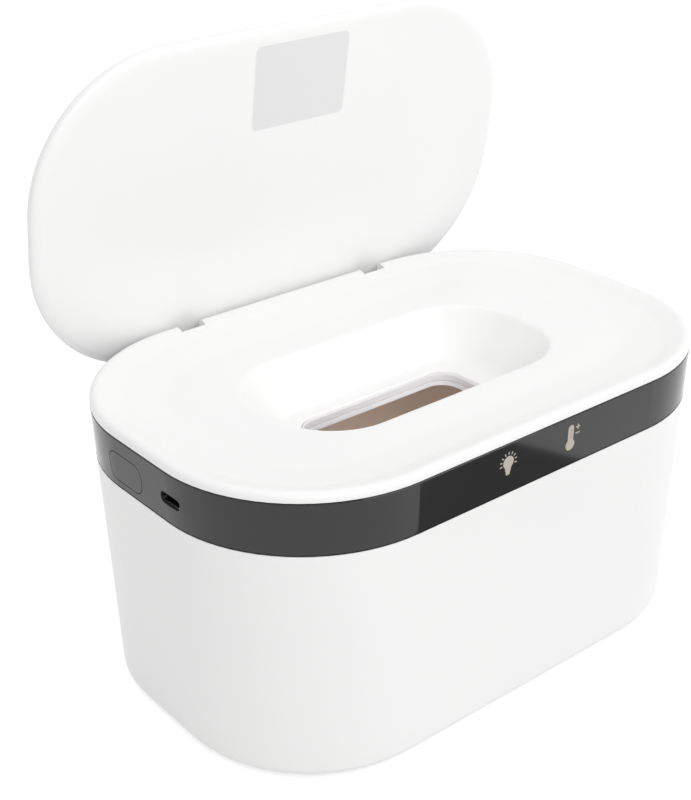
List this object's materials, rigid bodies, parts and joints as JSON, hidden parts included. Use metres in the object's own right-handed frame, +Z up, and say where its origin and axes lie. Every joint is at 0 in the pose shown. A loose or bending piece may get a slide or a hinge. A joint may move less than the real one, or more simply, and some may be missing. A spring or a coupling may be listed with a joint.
{
  "type": "baby wipe warmer",
  "caption": "Rounded box wipe warmer with a dark touch band, flip-up lid, lift-off cover with a well and dispensing slot, side push button and USB-C inlet.",
  "frame": {"origin": "centre of the base, on the surface that the feet stand on", "axes": "+Z up, +X along the length to the user's right, -Y is the front with the touch symbols"},
  "size_m": [0.2, 0.1378, 0.1996],
  "materials": {
    "shell_plastic": "satin white ABS",
    "cover_plastic": "satin white ABS",
    "lid_inner_plastic": "satin white ABS",
    "lid_outer_plastic": "satin white ABS",
    "base_plastic": "fine textured white",
    "smoked_plastic": "polished smoked dark grey",
    "button_plastic": "polished smoked dark grey",
    "liner_plastic": "warm brown moulded liner",
    "screw_steel": "zinc plated",
    "socket_steel": "plain steel",
    "foot_rubber": "matt grey rubber",
    "heater_aluminium": "milled",
    "film_amber": "amber film",
    "fuse_plastic": "pale sleeve",
    "sensor_resin": "black resin bead",
    "foam": "grey closed-cell foam",
    "board_green": "green solder mask",
    "switch_black": "black moulded",
    "led_resin": "pale resin",
    "seal_silicone": "translucent white silicone",
    "slot_silicone": "soft pale lavender-white silicone"
  },
  "bodies": {
    "housing": {"outer_shell": "shell_plastic", "base_plate": "base_plastic", "base_screws": "screw_steel", "rubber_feet": "foot_rubber", "control_band": "smoked_plastic", "wipe_chamber": "liner_plastic", "heater_plate": "heater_aluminium", "heater_film": "film_amber", "thermal_fuse": "fuse_plastic", "temperature_sensor": "sensor_resin", "insulation_foam": "foam", "control_board": "board_green", "board_screws": "screw_steel", "usb_c_socket": "socket_steel", "tact_switch": "switch_black", "touch_board": "board_green", "touch_pads": "foam", "night_light_leds": "led_resin"},
    "cover": {"top_cover": "cover_plastic", "cover_seal": "seal_silicone", "slot_ring": "slot_silicone", "hinge_pins": "screw_steel"},
    "lid": {"lid_panel": "lid_inner_plastic", "lid_shell": "lid_outer_plastic"},
    "button": {"power_button": "button_plastic"}
  },
  "joints": [
    {"name": "cover_lift", "type": "slide", "parent": "housing", "child": "cover", "axis": [0, 0, 1], "range_m": [0, 0.06]},
    {"name": "lid_hinge", "type": "hinge", "parent": "cover", "child": "lid", "pos_m": [0, 0.0573, 0.0921], "axis": [-1, 0, 0], "range_deg": [-80.2, 14.8]},
    {"name": "power_button_press", "type": "slide", "parent": "housing", "child": "button", "axis": [1, 0, 0], "range_m": [0, 0.0005], "stiffness_N_per_m": 600, "springref_m": -0.001}
  ]
}
